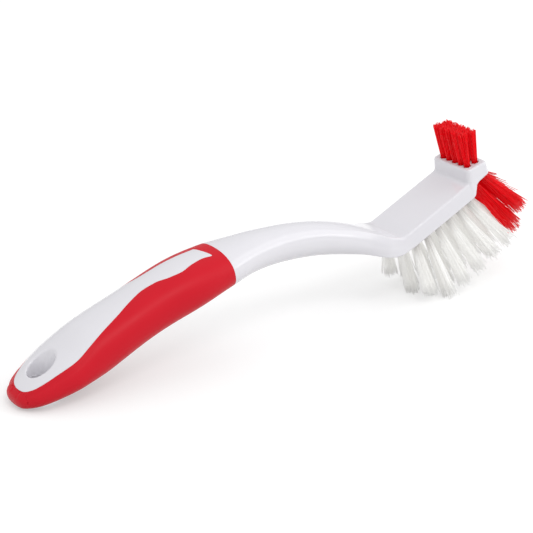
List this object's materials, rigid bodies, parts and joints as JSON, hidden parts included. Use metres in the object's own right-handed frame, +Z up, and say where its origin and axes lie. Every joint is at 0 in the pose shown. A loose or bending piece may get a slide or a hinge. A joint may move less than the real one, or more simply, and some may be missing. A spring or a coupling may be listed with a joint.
{
  "type": "dish brush",
  "caption": "Dish brush with a curved handle, a soft grip with a hang hole, an angled head of flaring bristle tufts, and stiff tufts on its nose and top for edges and corners.",
  "frame": {"origin": "on the table that the brush lies on, under the middle of its length and width", "axes": "+X from the butt of the handle to the head, +Y across the handle, +Z up from the table"},
  "size_m": [0.2808, 0.0374, 0.0811],
  "materials": {
    "white_plastic": "glossy injection moulding",
    "red_grip": "satin soft-touch overmoulding",
    "white_bristle": "translucent filament",
    "red_bristle": "glossy filament"
  },
  "bodies": {
    "root": {"body": "white_plastic", "grip": "red_grip", "white_tuft_row1_1": "white_bristle", "white_tuft_row1_2": "white_bristle", "white_tuft_row1_3": "white_bristle", "white_tuft_row1_4": "white_bristle", "white_tuft_row1_5": "white_bristle", "white_tuft_row1_6": "white_bristle", "white_tuft_row2_1": "white_bristle", "white_tuft_row2_2": "white_bristle", "white_tuft_row2_3": "white_bristle", "white_tuft_row2_4": "white_bristle", "white_tuft_row2_5": "white_bristle", "white_tuft_row2_6": "white_bristle", "white_tuft_row3_1": "white_bristle", "white_tuft_row3_2": "white_bristle", "white_tuft_row3_3": "white_bristle", "white_tuft_row3_4": "white_bristle", "white_tuft_row3_5": "white_bristle", "white_tuft_row3_6": "white_bristle", "white_tuft_row4_1": "white_bristle", "white_tuft_row4_2": "white_bristle", "white_tuft_row4_3": "white_bristle", "white_tuft_row4_4": "white_bristle", "white_tuft_row4_5": "white_bristle", "white_tuft_row4_6": "white_bristle", "white_tuft_row5_1": "white_bristle", "white_tuft_row5_2": "white_bristle", "white_tuft_row5_3": "white_bristle", "white_tuft_row5_4": "white_bristle", "white_tuft_row5_5": "white_bristle", "white_tuft_row5_6": "white_bristle", "nose_tuft_lower_1": "red_bristle", "nose_tuft_lower_2": "red_bristle", "nose_tuft_lower_3": "red_bristle", "nose_tuft_lower_4": "red_bristle", "nose_tuft_upper_1": "red_bristle", "nose_tuft_upper_2": "red_bristle", "nose_tuft_upper_3": "red_bristle", "nose_tuft_upper_4": "red_bristle", "top_tuft_back_1": "red_bristle", "top_tuft_back_2": "red_bristle", "top_tuft_back_3": "red_bristle", "top_tuft_back_4": "red_bristle", "top_tuft_back_5": "red_bristle", "top_tuft_front_1": "red_bristle", "top_tuft_front_2": "red_bristle", "top_tuft_front_3": "red_bristle", "top_tuft_front_4": "red_bristle", "top_tuft_front_5": "red_bristle"}
  },
  "joints": []
}
